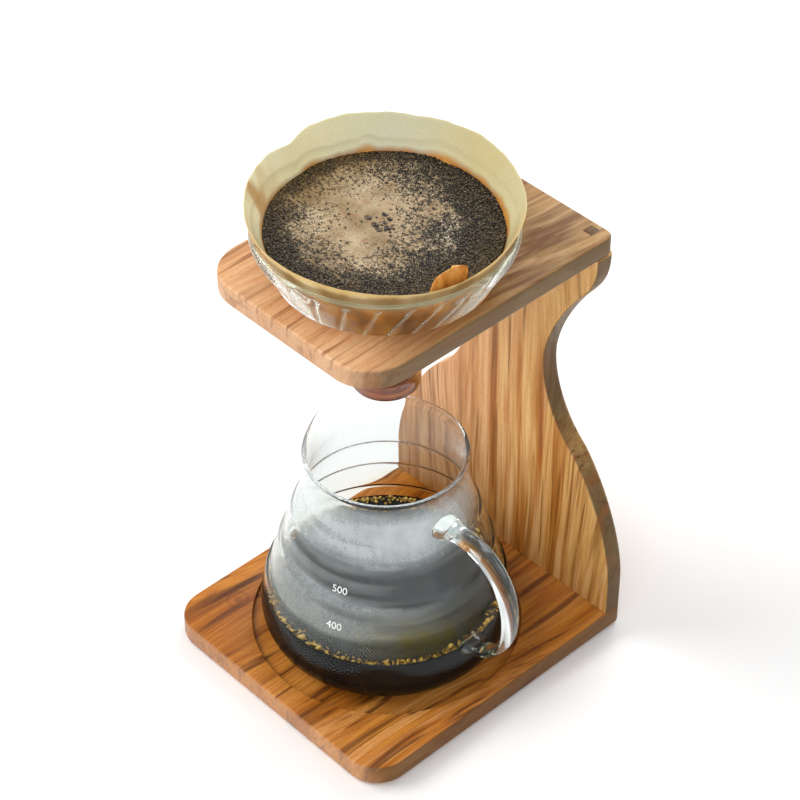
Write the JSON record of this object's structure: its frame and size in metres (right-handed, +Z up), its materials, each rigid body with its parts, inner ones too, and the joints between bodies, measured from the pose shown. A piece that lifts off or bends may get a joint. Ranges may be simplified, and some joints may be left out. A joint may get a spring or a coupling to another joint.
{
  "type": "pour over dripper",
  "caption": "Wooden pour over coffee stand holding a glass cone dripper with filter paper above a handled glass server.",
  "frame": {"origin": "middle of the base board's underside, on the surface that the stand rests on", "axes": "+Z up, +Y towards the upright board at the back, +X towards the server's handle; the open side faces -Y"},
  "size_m": [0.1567, 0.162, 0.2585],
  "materials": {
    "base_wood": "oiled olive wood, satin",
    "upright_wood": "oiled olive wood, satin",
    "top_wood": "oiled olive wood, satin",
    "end_grain_wood": "dark end grain, satin",
    "dowel_wood": "plain turned wood",
    "dripper_glass": "clear and polished",
    "filter_paper": "wet and stained",
    "coffee_grounds": "wet grounds under tan foam",
    "server_glass": "clear, misted inside",
    "handle_glass": "clear and polished",
    "brewed_coffee": "still liquid, glossy"
  },
  "bodies": {
    "stand": {"base_board": "base_wood", "upright_board": "upright_wood", "top_board": "top_wood", "top_key_left": "end_grain_wood", "top_key_right": "end_grain_wood", "base_dowel_left": "dowel_wood", "base_dowel_middle": "dowel_wood", "base_dowel_right": "dowel_wood", "top_dowel": "dowel_wood"},
    "dripper": {"glass_dripper": "dripper_glass"},
    "filter": {"paper_filter": "filter_paper", "coffee_bed": "coffee_grounds"},
    "server": {"server_glass": "server_glass", "server_handle": "handle_glass", "brewed_coffee": "brewed_coffee"}
  },
  "joints": [
    {"name": "dripper_lift", "type": "slide", "parent": "stand", "child": "dripper", "axis": [0, 0, 1], "range_m": [0, 0.08]},
    {"name": "filter_lift", "type": "slide", "parent": "dripper", "child": "filter", "axis": [0, 0, 1], "range_m": [0, 0.095]},
    {"name": "server_pull", "type": "slide", "parent": "stand", "child": "server", "axis": [0, -0.9701, 0.2425], "range_m": [0, 0.145]}
  ]
}
